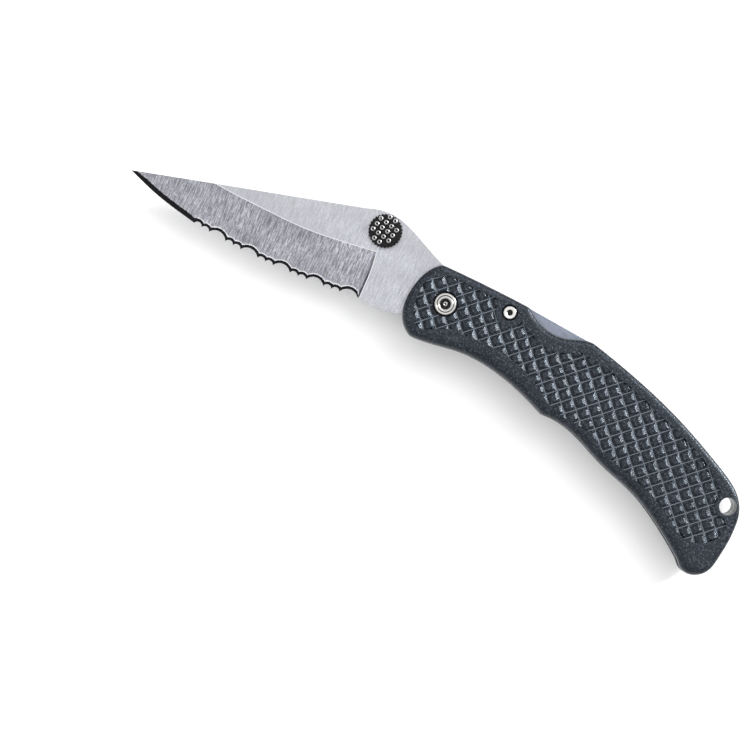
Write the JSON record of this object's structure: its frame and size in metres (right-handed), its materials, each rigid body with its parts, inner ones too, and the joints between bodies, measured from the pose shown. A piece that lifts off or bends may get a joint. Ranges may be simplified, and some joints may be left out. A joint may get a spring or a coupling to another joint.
{
  "type": "folding rigging knife",
  "caption": "Folding lockback rigging knife with a part-serrated blade, thumb discs, a rocking lock bar, checkered handle, moulded pocket clip and lanyard hole.",
  "frame": {"origin": "middle of the bounding box's underside, knife open and lying on its pivot boss and pocket clip", "axes": "+X from the blade's tip to the butt, +Y to the spine side, +Z out of the checkered side, square to the blade"},
  "size_m": [0.1764, 0.0351, 0.0142],
  "materials": {
    "handle_nylon": "fine-grained moulded glass-filled nylon",
    "blade_steel": "satin, brushed across the blade",
    "lock_steel": "satin",
    "pivot_steel": "turned and polished",
    "screw_brass": "turned, slightly tarnished",
    "disc_black": "black oxide, embossed",
    "washer_bronze": "rolled phosphor bronze",
    "spring_steel": "blued spring steel"
  },
  "bodies": {
    "handle": {"back_spacer": "handle_nylon", "blade_washer_front": "washer_bronze", "blade_washer_rear": "washer_bronze", "front_scale": "handle_nylon", "lock_pin": "pivot_steel", "lock_screw": "screw_brass", "lock_spring": "spring_steel", "pivot_head_washer": "pivot_steel", "pivot_screw": "screw_brass", "pivot_sleeve": "pivot_steel", "rear_scale": "handle_nylon", "spacer_dowels": "pivot_steel"},
    "blade": {"blade": "blade_steel", "thumb_disc_front": "disc_black", "thumb_disc_rear": "disc_black", "thumb_disc_screw": "pivot_steel"},
    "lock_bar": {"lock_bar": "lock_steel"}
  },
  "joints": [
    {"name": "blade_pivot", "type": "hinge", "parent": "handle", "child": "blade", "pos_m": [-0.00381, 0.00525, 0.0087], "axis": [0, 0, 1], "range_deg": [0, 158]},
    {"name": "lock_rocker", "type": "hinge", "parent": "handle", "child": "lock_bar", "pos_m": [0.01079, 0.01235, 0.0087], "axis": [0, 0, 1], "range_deg": [-7, 0], "stiffness_Nm_per_rad": 0.5, "springref_deg": 2.86, "deforming": ["lock_spring"]}
  ]
}
